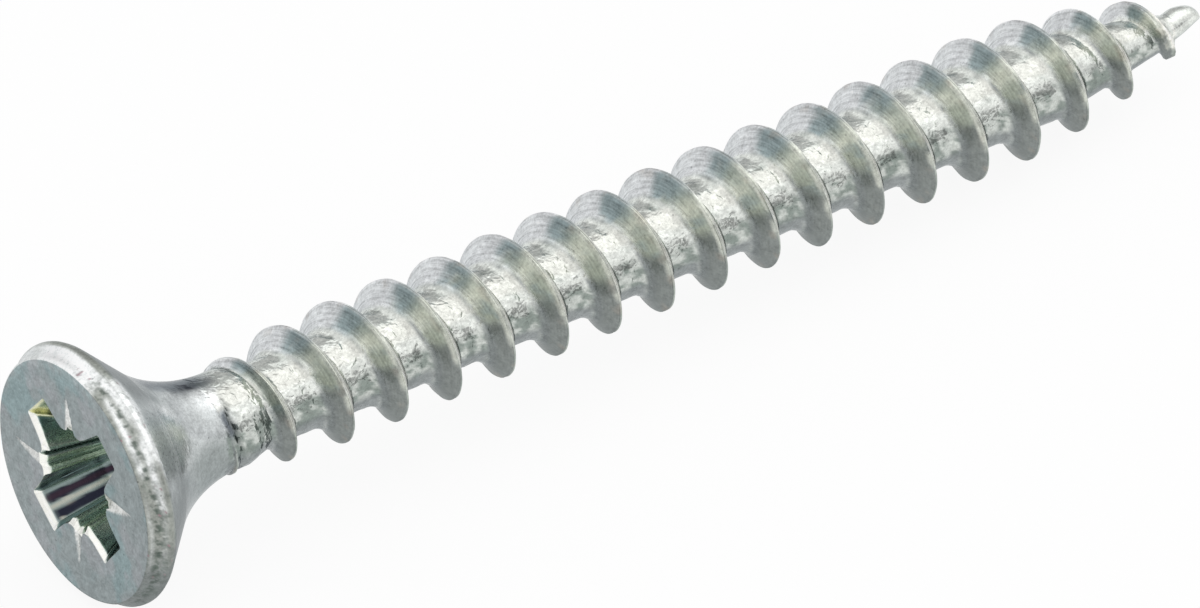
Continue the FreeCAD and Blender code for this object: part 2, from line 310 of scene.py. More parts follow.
# %% Marks struck into the face
MARKS = [(36.5, 2.76, 0.0, 1.5, 0.2), (124.6, 2.92, 0.26, 1.55, 0.2), (304.5, 2.84, -0.10, 1.55, -0.29),
         (214.2, 2.72, 0.0, 1.7, 0.2)]
MARK_DEPTH = 0.13


def mark_depth(angle, radius):
    """Depth of the marks: a wedge, deepest at one side, that narrows and rises to its pointed end."""
    depth = np.zeros_like(radius)
    for middle, reach, bend, start, half in MARKS:
        off = angle - math.radians(middle)
        along = radius * np.cos(off)
        share = np.clip((reach - along) / (reach - start), 0, 1.2)
        aside = radius * np.sin(off) - bend * (1 - share) ** 2 * (share < 1)
        place_in = np.clip(aside / (abs(half) * share**0.8 + 1e-4), -1, 1) * np.sign(half)
        wedge = np.minimum((1 + place_in) / 1.6, (1 - place_in) / 0.4)
        depth = np.maximum(depth, MARK_DEPTH * np.clip(wedge, 0, 1) * share**0.6 * (along > 0))
    return depth


print("deepest mark in mm:", mark_depth(np.radians(np.full(5, 36.5)), np.linspace(1.7, 2.7, 5)).round(3))

# %% [markdown]
# The head's surface is a pile of rings, from the middle of the recess up its walls, over the face and the rim
# and down the cone. Each ring holds the same number of points, so neighbours join to quads.
# The rings lie close where the surface turns sharply.

# %% Rings of the head
HEAD_TURN = math.radians(-9.9)
HELIX_FROM = -2 + math.degrees(HEAD_TURN) / 360
JOIN = THREAD_FROM + PITCH * (HELIX_FROM + 0.5)
BED_SHARES = (0.2, 0.45, 0.7, 0.88, 0.97)
WALL_DEPTHS = (1.88, 1.8, 1.6, 1.35, 1.1, 0.85, 0.62, 0.44, 0.30, 0.2, 0.155)
MOUTH_STEPS = ((0.125, 0.113), (0.09, 0.085), (0.05, 0.048), (0.02, 0.02), (0.006, 0.006))
FACE_SHARES = (0.0, 0.03, 0.07, 0.12, 0.17, 0.23, 0.3, 0.37, 0.44, 0.52, 0.6, 0.69, 0.78, 0.87, 0.94, 0.98,
               1.0)
even = HEAD_TURN + 2 * math.pi * np.arange(HEAD_COLUMNS) / HEAD_COLUMNS


def recess_rings():
    """Distance, radius and angle of the rings from the recess's bed up its walls to the bevelled mouth."""
    rings = []
    for share in BED_SHARES:
        angle, radius = recess_outline(RECESS_FOOT, MOUTH_BEVEL)
        depth = RECESS_DEPTH + (RECESS_FOOT - RECESS_DEPTH) * share**1.4
        rings.append((np.full_like(angle, depth), radius * share, angle))
    wall_steps = [(depth, MOUTH_BEVEL) for depth in WALL_DEPTHS]
    for depth, inset in wall_steps + list(MOUTH_STEPS):
        angle, radius = recess_outline(depth, inset)
        rings.append((np.full_like(angle, depth), radius, angle))
    return rings


def face_rings():
    """Rings over the face: the radius grows from the recess's outline to a circle, the angles become even."""
    angle, radius = recess_outline(0.0, -0.012)
    rings = []
    for share in FACE_SHARES:
        out = radius + (FACE_RADIUS - 0.03 - radius) * share
        angles = angle + (even - angle) * ramp(share, 0.0, 1.0)
        rings.append((mark_depth(angles, out), out, angles))
    return rings


recess, face = recess_rings(), face_rings()
print(len(recess), "rings in the recess and", len(face), "on the face")

# %% [markdown]
# Outside the face the rings are circles. A short round leads over the face's edge, the bevel is worn a little
# hollow, the rim is round, and the cone follows the profile.

# %% Rings of bevel, rim and cone
FACE_EDGE = [(0.006, 0.0), (0.022, 0.012), (0.05, 0.028)]
BEVEL_TOP, BEVEL_FOOT, BEVEL_WEAR = FACE_RADIUS + 0.03, HEAD_RADIUS - 0.02, 0.035
RIM_ROUND = [(0.55, -0.010), (0.58, -0.003), (0.61, 0.0), (0.65, 0.0), (0.69, -0.006), (0.73, -0.022),
             (0.77, -0.048)]


def outer_rings():
    """Rings down the bevel with its worn hollow, round the rim and along the cone to the thread's grid."""
    profile = [(distance, FACE_RADIUS + more) for distance, more in FACE_EDGE]
    share = np.linspace(0.08, 0.94, 9)
    slope = BEVEL_TOP + (BEVEL_FOOT - BEVEL_TOP) * share
    profile += list(zip(BEVEL_END * share + 0.045, slope - BEVEL_WEAR * np.sin(np.pi * share) ** 2))
    profile += [(distance, HEAD_RADIUS + more) for distance, more in RIM_ROUND]
    cone = np.linspace(0.82, JOIN, 15)
    profile += list(zip(cone, body_radius(cone)))
    full = np.ones(HEAD_COLUMNS)
    return [(distance * full, radius * full, even) for distance, radius in profile]


head_rings = recess + face + outer_rings()
print(len(head_rings), "rings of", HEAD_COLUMNS, "points, the last one", round(JOIN, 3), "mm below the face")

# %% [markdown]
# The thread needs a grid that runs along its spiral, so that a row of points lies on the crest all the way.
# The grid is a ribbon as wide as the pitch: its right edge in one turn is its left edge in the next.
# In the first turn it fans out of a plain ring, and in the last it closes on another.

# %% Spiral grid of neck and thread
ROWS = np.array([-0.938, -0.83, -0.72, -0.61, -0.52, -0.44, -0.36, -0.28, -0.2, -0.13, -0.08, -0.045, -0.015,
                 0.012, 0.04, 0.075, 0.13, 0.2, 0.28, 0.36, 0.44, 0.53, 0.63, 0.73, 0.835])
TIP_JOIN = 38.9
turns_wide = (TIP_JOIN - THREAD_FROM) / PITCH + 0.5 - HELIX_FROM
STATIONS = round(turns_wide * COLUMNS)
helix_turn = HELIX_FROM + np.arange(STATIONS + 1) / COLUMNS
TIP_RING = THREAD_FROM + PITCH * (helix_turn[-1] - 0.5)


def ribbon():
    """Distance and turn of each point: the spiral's place plus the row's, squeezed in the end turns."""
    turn = np.repeat(helix_turn[:, None], len(ROWS), axis=1)
    share = (ROWS / PITCH + 0.5)[None, :]
    left = THREAD_FROM + PITCH * (turn - 0.5)
    distance = left + PITCH * share
    first = turn < HELIX_FROM + 1
    last = turn > helix_turn[-1] - 1
    distance = np.where(first, JOIN + (left + PITCH - JOIN) * share, distance)
    distance = np.where(last, left + (TIP_RING - left) * share, distance)
    return distance, turn


ribbon_distance, ribbon_turn = ribbon()
print("ribbon of", ribbon_distance.shape, "points, from", round(JOIN, 3), "to", round(TIP_RING, 3), "mm")

# %% [markdown]
# The very end was pinched off between the dies: it is a little leaf, full on one side and straight on the
# other. So its radius is a function of the turn as well, and its rings close round it like a cone's.

# %% Rings of the point
LEAF_UNDER, LEAF_ABOVE, LEAF_HUMP, LEAF_END = 0.44, 0.40, 0.52, 0.01
TIP_SHARES = (0.06, 0.13, 0.21, 0.3, 0.4, 0.5, 0.6, 0.7, 0.78, 0.85, 0.9, 0.94, 0.97, 0.987, 0.997)


def leaf_radius(distance, turn):
    """Radius of the leaf: under it a cone that thins to the end, above it a hump that closes late.

    With s going from 0 to 1 along the leaf, the hump is a root of 1 - s^6 and the cone is 1 - s^1.3.
    """
    share = np.clip((distance - LEAF_FROM) / (LENGTH - LEAF_FROM), 0, 1)
    under = LEAF_UNDER * (1 - share**1.3) + LEAF_END
    hump = LEAF_ABOVE + (LEAF_HUMP - LEAF_ABOVE) * ramp(share, 0.0, 0.45)
    above = hump * np.sqrt(1 - share**6) + LEAF_END
    upper = (0.5 - 0.5 * np.cos(2 * np.pi * turn)) ** 1.3
    return under + (above - under) * upper


def point_rings():
    """Rings from the end of the spiral grid to the point."""
    turn = helix_turn[STATIONS - COLUMNS:STATIONS]
    rings = []
    for share in TIP_SHARES:
        distance = TIP_RING + (LENGTH - TIP_RING) * share
        rings.append((np.full(COLUMNS, distance), leaf_radius(distance, turn), turn))
    return rings


print("rings of the point:", len(point_rings()))

# %% [markdown]
# Now every point gets its final radius. Rolling leaves dents and folds in the roots, and where the thread
# begins the metal was pushed up into a ragged step with a crack beside it.
# Both are real relief, so they are worked into the radius; only what is finer than the grid is left to bump.

# %% Step and crack where the thread begins
STEP_TURN, STEP_HALF, STEP_BEFORE, STEP_AHEAD = -0.17, 0.15, 0.14, 0.28
STEP_HEIGHT, CRACK_DEPTH, CRACK_HALF = 0.05, 0.07, 0.05


def axis_points(distance, radius, turn):
    """Points with the axis along Z, in millimetres, for the random fields."""
    return np.stack([radius * np.cos(2 * np.pi * turn), radius * np.sin(2 * np.pi * turn), distance], axis=-1)


def step_crack(distance, turn):
    """Way past the ragged step where the thread begins, and how fully the step is there at this turn."""
    edge = THREAD_FROM - STEP_BEFORE + STEP_AHEAD * ramp(turn, -0.2, -0.04)
    edge = edge + 0.04 * np.sin(31 * turn) + 0.03 * np.sin(83 * turn)
    return distance - edge, np.exp(-(((turn - STEP_TURN) / STEP_HALF) ** 4))


print("the step stands", STEP_HEIGHT, "mm high and the crack is", CRACK_DEPTH, "mm deep")

# %% [markdown]
# The roots are roughest near the head and calm down towards the point. The crest and the flanks only waver.
# Each field of bumps has its own size in millimetres and its own seed, so that no two of them agree.

# %% Radius of the threaded part
RIDGE_WANDER, DENT_HEIGHT, SMALL_DENT_HEIGHT, PIT_DEPTH, FOLD_HEIGHT = 0.012, 0.012, 0.008, 0.010, 0.008
FLANK_WAVE, CREST_WAVE = 0.010, 0.010


def root_calm(distance):
    """Share of the roots' roughness that is left: the dies' last stretch came out smoother."""
    return (1 - 0.25 * ramp(distance, 14, 20)) * (1 - 0.5 * ramp(distance, 31, 36))


def root_relief(skin):
    """Dents of two sizes, pits and sharp folds that run along the screw, as one height."""
    dents = DENT_HEIGHT * bumps(skin, 0.45, 11) + SMALL_DENT_HEIGHT * bumps(skin, 0.24, 12)
    pits = PIT_DEPTH * ramp(bumps(skin, 0.3, 14), 0.35, 0.6)
    folds = FOLD_HEIGHT * np.abs(bumps(skin * [1, 1, 0.35], 0.28, 15)) - 0.003
    return dents - pits + folds


def shank_surface(distance, turn):
    """Radius, ridge share and signed way across the ridge, with wobble, dents, folds and the step."""
    across = distance - THREAD_FROM - PITCH * turn
    nearest = np.where(across > PITCH / 2, across - PITCH, across)
    nearest = np.where(across < -PITCH / 2, across + PITCH, nearest)
    ridge_turn = turn + (across - nearest) / PITCH
    skin = axis_points(distance, CORE_RADIUS, turn)
    wandering = nearest + RIDGE_WANDER * bumps(skin, 1.6, 5)
    radius, core, crest = thread_radius(distance, ridge_turn, wandering)
    radius = np.where(distance > LEAF_FROM, np.maximum(radius, leaf_radius(distance, turn)), radius)
    ridge = np.clip((radius - core) / np.maximum(crest - core, 0.05), 0, 1)
    beside, there = step_crack(distance, turn)
    rough = ramp(distance, 4.5, 5.4) * (1 - ramp(ridge, 0.08, 0.5)) * (1 - 0.9 * ramp(distance, 38.0, 38.7))
    rough = rough + 1.3 * there * ramp(beside, -0.05, 0.1) * (1 - ramp(beside, 0.5, 0.8))
    radius = radius + rough * root_calm(distance) * root_relief(skin)
    radius = radius + FLANK_WAVE * ramp(ridge, 0.3, 1) * bumps(skin, 0.7, 13)
    radius = radius + CREST_WAVE * ramp(ridge, 0.75, 1) * bumps(skin, 0.22, 16)
    step = STEP_HEIGHT * ramp(beside, -0.02, 0.05) - CRACK_DEPTH * np.exp(-((beside / CRACK_HALF) ** 2))
    return radius + there * step, ridge, nearest


shank_radius, shank_ridge, shank_across = shank_surface(ribbon_distance, ribbon_turn)
print("shank radius from", shank_radius.min().round(3), "to", shank_radius.max().round(3), "mm")

# %% [markdown]
# Rings and ribbon become one closed skin. First all points go into one long list, so that a point is known by
# its number; the head's rings come first, then the ribbon, then the point.


# %% One list of points
def gather(rings):
    """Distance, radius and turn of a list of rings, as three flat arrays."""
    return [np.concatenate([ring[part] for ring in rings]) for part in range(3)]


def pole(distance):
    """One point on the axis, as three arrays of one value."""
    return np.array([distance]), np.zeros(1), np.zeros(1)


head = gather([(d, r, a / (2 * np.pi)) for d, r, a in head_rings])
tip = gather(point_rings())
ROWS_ACROSS = len(ROWS)
HEAD_START = 1
JOIN_RING = HEAD_START + (len(head_rings) - 1) * HEAD_COLUMNS
RIBBON_START = JOIN_RING + HEAD_COLUMNS
END_START = RIBBON_START + ribbon_distance.size
TIP_START = END_START + COLUMNS
LAST = TIP_START + len(tip[0])
end_turn = helix_turn[STATIONS - COLUMNS:STATIONS]
end_ring = (np.full(COLUMNS, TIP_RING), leaf_radius(TIP_RING, end_turn), end_turn)
ribbon_part = (ribbon_distance.ravel(), shank_radius.ravel(), ribbon_turn.ravel())
sections = [pole(RECESS_DEPTH), head, ribbon_part, end_ring, tip, pole(LENGTH)]
distance, radius, turn = (np.concatenate([section[k] for section in sections]) for k in range(3))
print(len(distance), "points, of which the ribbon has", ribbon_distance.size)

# %% [markdown]
# The head has three columns for each of the shank's, because its recess has fine corners. Where they meet, a
# face of the ribbon takes in the two ring points between its own corners, so the skin has no gap.


# %% Faces between the points
def band(first, second):
    """Quads between two rings given as arrays of point numbers."""
    return np.stack([first, second, np.roll(second, -1), np.roll(first, -1)], axis=-1)


def ribbon_number(station, row):
    """Number of a ribbon point: at the right edge the left edge's, one turn on, and at the ends a ring's."""
    right_edge = row == ROWS_ACROSS
    station = np.where(right_edge, station + COLUMNS, station)
    row = np.where(right_edge, 0, row)
    number = RIBBON_START + np.minimum(station, STATIONS) * ROWS_ACROSS + row
    on_join = (station == 0) | ((row == 0) & (station <= COLUMNS))
    number = np.where(on_join, JOIN_RING + SPLIT * (np.where(row == 0, station, 0) % COLUMNS), number)
    number = np.where(right_edge & (station >= STATIONS), END_START + (station - STATIONS) % COLUMNS, number)
    return np.where((station == STATIONS) & ~right_edge, END_START, number)


def without_repeats(quads):
    """Quads and triangles: a quad with two equal corners is a triangle, and what has fewer is dropped."""
    keep = quads != np.roll(quads, -1, axis=1)
    corners = keep.sum(axis=1)
    return [quads[corners == 4], quads[corners == 3][keep[corners == 3]].reshape(-1, 3)]


def take_in(polygons):
    """Adds the ring points between the two corners that a polygon has on the head's last ring."""
    on_ring = (polygons >= JOIN_RING) & (polygons < RIBBON_START)
    corners = polygons.shape[1]
    start = (on_ring & np.roll(on_ring, -1, axis=1)).argmax(axis=1)
    turned = polygons[np.arange(len(polygons))[:, None], (start[:, None] + np.arange(corners)) % corners]
    first, second = turned[:, 0] - JOIN_RING, turned[:, 1] - JOIN_RING
    way = np.where((second - first) % HEAD_COLUMNS == SPLIT, 1, -1)
    between = [(first + way * step) % HEAD_COLUMNS + JOIN_RING for step in range(1, SPLIT)]
    return np.concatenate([turned[:, :1], np.stack(between, axis=-1), turned[:, 1:]], axis=1)


def skin_polygons():
    """Groups of polygons with equal numbers of corners, for the whole skin."""
    head_number = HEAD_START + np.arange(len(head[0])).reshape(-1, HEAD_COLUMNS)
    tip_number = np.concatenate([END_START + np.arange(COLUMNS), TIP_START + np.arange(len(tip[0]))])
    tip_number = tip_number.reshape(-1, COLUMNS)
    quads = [band(np.zeros(HEAD_COLUMNS, int), head_number[0]), band(tip_number[-1], np.full(COLUMNS, LAST))]
    for rings in (head_number, tip_number):
        quads += [band(upper, lower) for upper, lower in zip(rings, rings[1:])]
    groups = without_repeats(np.concatenate(quads))
    station, row = np.meshgrid(np.arange(STATIONS), np.arange(ROWS_ACROSS), indexing="ij")
    corners = [ribbon_number(station + a, row + b) for a, b in ((0, 0), (0, 1), (1, 1), (1, 0))]
    for group in without_repeats(np.stack(corners, axis=-1).reshape(-1, 4)):
        joins = ((group >= JOIN_RING) & (group < RIBBON_START)).sum(axis=1) == 2
        groups += [group[~joins], take_in(group[joins])]
    return [group for group in groups if len(group)]


polygons = skin_polygons()
print("polygons by corners:", [group.shape for group in polygons])

# %% [markdown]
# The numbers go straight into a mesh. Points that no polygon uses, such as the ribbon's hidden edge, are left
# out, and every value that belongs to a point is thinned out with them.


# %% Mesh of the screw
def make_object(name, points, groups):
    """A mesh object from points in metres and groups of polygons, written as whole arrays."""
    mesh = bpy.data.meshes.new(name)
    corners = np.concatenate([group.ravel() for group in groups])
    sizes = np.concatenate([np.full(len(group), group.shape[1]) for group in groups])
    mesh.vertices.add(len(points))
    mesh.vertices.foreach_set("co", points.astype(np.float32).ravel())
    mesh.loops.add(len(corners))
    mesh.loops.foreach_set("vertex_index", corners.astype(np.int32))
    mesh.polygons.add(len(sizes))
    mesh.polygons.foreach_set("loop_start", (np.cumsum(sizes) - sizes).astype(np.int32))
    mesh.update(calc_edges=True)
    thing = bpy.data.objects.new(name, mesh)
    bpy.context.scene.collection.objects.link(thing)
    return thing


used, renumbered = np.unique(np.concatenate([group.ravel() for group in polygons]), return_inverse=True)
parts = np.split(renumbered.ravel(), np.cumsum([group.size for group in polygons])[:-1])
polygons = [part.reshape(group.shape) for part, group in zip(parts, polygons)]
points = place(distance, radius, turn)[used]
screw = make_object("screw_skin", points, polygons)
print(len(points), "points in the mesh, repaired:", screw.data.validate())

# %% [markdown]
# A shape made from numbers can come out inside out. The sum of the small pyramids from the origin to each
# triangle is the volume, and it is negative when the faces point inwards.


# %% Which way the faces point
def volume_of(mesh):
    """Volume in cubic millimetres from the mesh's triangles: positive when the faces point outwards."""
    mesh.calc_loop_triangles()
    corner = np.empty(len(mesh.loop_triangles) * 3, np.int32)
    mesh.loop_triangles.foreach_get("vertices", corner)
    co = np.empty(len(mesh.vertices) * 3, np.float32)
    mesh.vertices.foreach_get("co", co)
    a, b, c = np.moveaxis(co.reshape(-1, 3).astype(float)[corner.reshape(-1, 3)], 1, 0)
    return float(np.einsum("ij,ij->i", a, np.cross(b, c)).sum() / 6 / MM**3)


if volume_of(screw.data) < 0:
    screw.data.flip_normals()
print("volume", round(volume_of(screw.data), 2), "mm3,", len(screw.data.loop_triangles), "triangles")

# %% [markdown]
# A wing's end or the crest's lap is a real edge, while the cone is smooth. Smooth shading with an angle limit
# keeps both.

# %% Smooth shading
SHARP_FROM = math.radians(38)
screw.data.shade_smooth()
screw.data.set_sharp_from_angle(angle=SHARP_FROM)
print("edges are sharp from", round(math.degrees(SHARP_FROM)), "degrees")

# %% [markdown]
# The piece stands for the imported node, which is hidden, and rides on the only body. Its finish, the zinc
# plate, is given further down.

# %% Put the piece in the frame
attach(screw, "root")
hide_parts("screw")
print("screw box in mm", np.round(points.min(axis=0) / MM, 2), np.round(points.max(axis=0) / MM, 2))

# %% [markdown]
# Much of the zinc's colour here is painted light: the bands of reflection and shade that the metal shows are
# painted into its colour at fixed turns. The struck face is dull and bluish, the flanks carry painted
# reflections in lilac, teal, cream and olive, the roots are bright and dented, and the recess is painted dark
# with painted shade and painted reflections.
# A texture could not know these places, but the arrays do: the turn, the distance and the share of the ridge
# are known for every point. So the tone is painted point by point into an attribute, and the finer grain is
# left to the shader.
# Turns are named in degrees here: 180 is the upper edge in the picture, 270 faces the camera and 360 is the
# lower edge. Each stroke covers what is under it, so the order of the strokes counts.

# %% Tools for painting
degrees = np.degrees(2 * np.pi * turn) % 360
skin = axis_points(distance, np.maximum(radius, 0.3), turn)
drift = 5 * bumps(skin, 0.9, 46) + 2 * bumps(skin, 0.3, 47)
waver = 0.03 * bumps(skin, 0.8, 23)
# The painted colours: the zinc's own tone together with painted highlights, painted reflections and painted
# shade.
film = np.empty((len(distance), 3))
number = np.arange(len(distance))
on_recess = number < HEAD_START + len(recess) * HEAD_COLUMNS
on_face = ~on_recess & (number < HEAD_START + (len(recess) + len(face)) * HEAD_COLUMNS)
on_shank = number >= RIBBON_START
ridge, across = np.zeros(len(distance)), np.zeros(len(distance))
ridge[RIBBON_START:END_START] = shank_ridge.ravel()
across[RIBBON_START:END_START] = shank_across.ravel()


def paint(colour, where, strength=1.0):
    """One stroke: mixes a colour into the painted colours, which hold own tone and painted light alike, by a
    share at each point, from 0 to 1.
    """
    share = np.clip(where * strength, 0, 1)[:, None]
    film[:] = film * (1 - share) + np.array(colour) * share


def around(start, end, soft):
    """1 between two turns in degrees, fading over soft degrees, with edges that drift a little."""
    middle, half = (start + end) / 2, (end - start) / 2
    off = np.abs((degrees + drift - middle + 180) % 360 - 180)
    return 1 - ramp(off, half - soft / 2, half + soft / 2)


def belt(middle, half):
    """1 in a belt round the screw at this distance below the face, fading over its half width."""
    return np.exp(-(((distance + waver - middle) / half) ** 2))


def between(start, end, rise, fall):
    """1 between two distances below the face, rising before the first and falling after the second."""
    return ramp(distance, start - rise, start) * (1 - ramp(distance, end, end + fall))


def spots(size, seed, start, end):
    """Random spots: a field of bumps of this size, cut off between two heights."""
    return ramp(bumps(skin, size, seed), start, end)


print("points on recess, face and shank:", on_recess.sum(), on_face.sum(), on_shank.sum())

# %% [markdown]
# The cone and the neck are smooth, and show broad bands along the screw as painted reflection: a painted
# highlight on the side that faces the softbox, painted dark bands above and below it. The bands are strokes
# like the others, at their own turns.

# %% Tones of cone and neck
CONE_TONE, NECK_TONE, LOW_NECK_SHADE_TONE = (0.33, 0.355, 0.355), (0.60, 0.63, 0.63), (0.31, 0.34, 0.335)
# The nearly white tone is a painted highlight, laid on the neck, the rim, the face's edge, the ridge's foot
# and beside the crack.
DARK_REFLECTION_TONE, SHADE_TONE, PAINTED_HIGHLIGHT_TONE = (0.15, 0.17, 0.19), (0.19, 0.21, 0.21), (0.98, 1.0, 1.0)
on_neck = ramp(distance, 1.9, 3.2)
on_cone = between(0.9, 1.9, 0.2, 0.7)
film[:] = CONE_TONE
paint(NECK_TONE, on_neck)
# Painted shade under the neck, a painted dark reflection along its top, painted shade on the cone round a
# painted light band, and a painted highlight on the neck.
paint(LOW_NECK_SHADE_TONE, on_neck * around(289, 400, 24), 0.95)
paint(DARK_REFLECTION_TONE, ramp(distance, 2.0, 2.6) * around(165, 226, 14), 0.95)
paint(SHADE_TONE, on_cone * around(180, 248, 22), 0.75)
paint(NECK_TONE, on_cone * around(248, 290, 20), 0.9)
paint(PAINTED_HIGHLIGHT_TONE, between(2.0, 2.4, 0.5, 0.5) * around(250, 288, 16), 0.75)
paint(SHADE_TONE, on_cone * around(294, 345, 16), 0.7)
print("cone and neck from", film.min(axis=0).round(2), "to", film.max(axis=0).round(2))

# %% [markdown]
# The rim's bevel carries a painted highlight on top, painted highlight strips run along it at the front, and
# dark and reddish specks sit in the hollow between them; its lower side is painted shade.
# A strip has a distance below the face, a half width, the turns where it starts and ends, how softly it does,
# and a strength.

# %% Tones of the rim
RIM_TONE, SPECK_TONE, RED_TONE = (0.36, 0.38, 0.35), (0.10, 0.13, 0.11), (0.40, 0.22, 0.26)
PAINTED_HIGHLIGHT_STRIPS = [(0.46, 0.10, 230, 252, 10, 1.0), (0.66, 0.15, 238, 276, 14, 1.0),
               (0.86, 0.13, 238, 280, 18, 0.8), (0.19, 0.09, 246, 282, 10, 1.0),
               (0.46, 0.09, 265, 297, 10, 1.0)]
outside = ~on_recess & ~on_face
rim = outside & (distance < 0.85)
bevel = outside * (1 - ramp(distance + waver, 0.47, 0.56))
paint(RIM_TONE, rim * (1 - ramp(distance, 0.68, 0.84)))
# Painted highlights: on the bevel's top, on the rim above it, and in strips along the front.
paint(PAINTED_HIGHLIGHT_TONE, bevel * (around(188, 233, 12) + 0.5 * around(150, 188, 20)))
paint(PAINTED_HIGHLIGHT_TONE, rim * around(120, 186, 14), 0.5)
for below, half, start, end, soft, strength in PAINTED_HIGHLIGHT_STRIPS:
    paint(PAINTED_HIGHLIGHT_TONE, outside * belt(below, half) * around(start, end, soft), strength)
paint(PAINTED_HIGHLIGHT_TONE, outside * (belt(0.45, 0.06) + belt(0.10, 0.05)) * around(296, 335, 20), 0.35)
# Painted shade on the rim's lower side.
paint(SHADE_TONE, rim * around(322, 420, 20), 0.8)
speckle = ramp(bumps(skin, 0.15, 21) + 0.8 * bumps(skin, 0.07, 22), -0.15, 0.35)
paint(SPECK_TONE, outside * belt(0.30, 0.10) * speckle * around(234, 400, 16), 0.85)
paint(SPECK_TONE, outside * belt(0.36, 0.22) * speckle * around(280, 340, 20), 0.5)
fine_speckle = ramp(bumps(skin, 0.13, 24) + 0.6 * bumps(skin, 0.06, 25), 0.2, 0.8)
paint(SPECK_TONE, rim * fine_speckle * around(225, 400, 20), 0.4)
paint(RED_TONE, rim * spots(0.13, 28, 0.80, 0.90) * around(205, 330, 10), 0.8)
print("points on the rim:", rim.sum())

# %% [markdown]
# The face is dull and blue-grey, with patches a little greener and a little more violet, and a faint painted
# highlight near its upper edge. The struck marks are painted nearly white.

# %% Tones of the face
FACE_TONE, GREENISH_TONE, VIOLET_TONE = (0.315, 0.355, 0.36), (0.28, 0.37, 0.38), (0.365, 0.385, 0.40)
MARK_TONE = (0.73, 0.74, 0.72)
paint(FACE_TONE, on_face)
paint(GREENISH_TONE, on_face * ramp(bumps(skin, 0.9, 26) + 0.4 * bumps(skin, 0.3, 29), 0.0, 0.6), 0.8)
paint(VIOLET_TONE, on_face * ramp(bumps(skin, 0.8, 27) + 0.4 * bumps(skin, 0.25, 30), 0.1, 0.7), 0.8)
# A faint painted highlight near the face's upper edge.
paint(PAINTED_HIGHLIGHT_TONE, on_face * ramp(radius, 3.35, 3.64) * around(170, 240, 30), 0.10)
paint(MARK_TONE, on_face * ramp(mark_depth(2 * np.pi * turn, radius), 0.0, 0.02))
print("points in the marks:", int((on_face & (mark_depth(2 * np.pi * turn, radius) > 0.01)).sum()))

# %% [markdown]
# Inside the recess the walls mirror one another, and this is painted as straight stripes that run down into
# the hole. The bevel is a painted highlight, nearly white; the walls are green with painted dark and cream
# reflections and a painted highlight at the notches, and a wing's end is painted darker as shade, with painted
# navy and purple reflections and a cream one between. The top wing's end has a painted yellow reflection near
# the mouth.
# A stripe belongs to a column of points, so it is a function of how far the column is from the wing's middle.

# %% Places in the recess
END_COLUMNS = 12
column = (number - HEAD_START) % HEAD_COLUMNS
off_wing = from_wing[column]
worn = np.minimum(bevel_share[column], 1)
below_bevel = ramp(distance, MOUTH_BEVEL * 0.9, MOUTH_BEVEL * 1.5)
inside = on_recess * (worn * below_bevel + (1 - worn) * ramp(distance, 0.0, 0.03))
on_end = np.abs(off_wing) <= END_COLUMNS
on_top_end = on_end & (np.abs(column - HEAD_COLUMNS // 2) < 20)
end_stripe = np.cos(2 * np.pi * (off_wing / END_COLUMNS - 0.38) / 0.85)
wall_stripe = bumps(np.stack([column / 3.5, distance * 0.4, 0 * column], axis=-1), 1.0, 31)
print("points on the wings' ends:", (on_recess & on_end).sum())

# %% Tones of the recess
BEVEL_HIGHLIGHT_TONE, GREEN_TONE, DARK_GREEN_REFLECTION_TONE = (0.97, 0.97, 0.91), (0.38, 0.50, 0.50), (0.22, 0.29, 0.29)
NOTCH_HIGHLIGHT_TONE, CREAM_REFLECTION_TONE, YELLOW_REFLECTION_TONE = (0.80, 0.88, 0.74), (0.50, 0.50, 0.43), (0.88, 0.87, 0.62)
END_SHADE_TONE, NAVY_REFLECTION_TONE, PURPLE_REFLECTION_TONE = (0.20, 0.25, 0.24), (0.022, 0.024, 0.038), (0.045, 0.028, 0.04)
fleck = bumps(skin, 0.16, 32)
# Painted highlight on the bevel and at the notches, painted dark and cream reflection stripes on the walls,
# painted shade on the wings' ends with painted navy, purple and cream reflections, and a painted yellow
# reflection at the top end.
paint(BEVEL_HIGHLIGHT_TONE, on_recess)
paint(GREEN_TONE, inside)
paint(DARK_GREEN_REFLECTION_TONE, inside * ~on_end * ramp(wall_stripe, 0.0, 0.6), 0.6)
paint(CREAM_REFLECTION_TONE, inside * ~on_end * ramp(-wall_stripe, 0.25, 0.7), 0.6)
paint(NOTCH_HIGHLIGHT_TONE, inside * ramp(np.abs(off_wing), 24, 30) * ramp(wall_stripe, -0.6, 0.2), 0.85)
paint(END_SHADE_TONE, inside * on_end, 0.9)
paint(NAVY_REFLECTION_TONE, inside * on_end * ramp(end_stripe + 0.3 * fleck, -0.4, 0.15) * ramp(distance, 0.1, 0.25))
paint(PURPLE_REFLECTION_TONE, inside * on_end * ramp(end_stripe, 0.2, 0.9) * (off_wing > 0), 0.8)
paint(CREAM_REFLECTION_TONE, inside * on_end * ramp(-end_stripe, 0.4, 1.0) * (np.abs(off_wing) < 7), 0.7)
paint(CREAM_REFLECTION_TONE, inside * on_end * ramp(fleck, 0.6, 0.8), 0.7)
paint(YELLOW_REFLECTION_TONE, inside * on_top_end * (1 - ramp(distance, 0.55, 0.7)))
print("recess from", film[on_recess].min(axis=0).round(2), "to", film[on_recess].max(axis=0).round(2))

# %% [markdown]
# The roots between the ridges are the brightest part of the thread, with dark dents at random; towards their
# lower edge and in two bands near the top the dents are painted shade, the lower edge is painted shade too,
# and a warm painted reflection lies at the front.

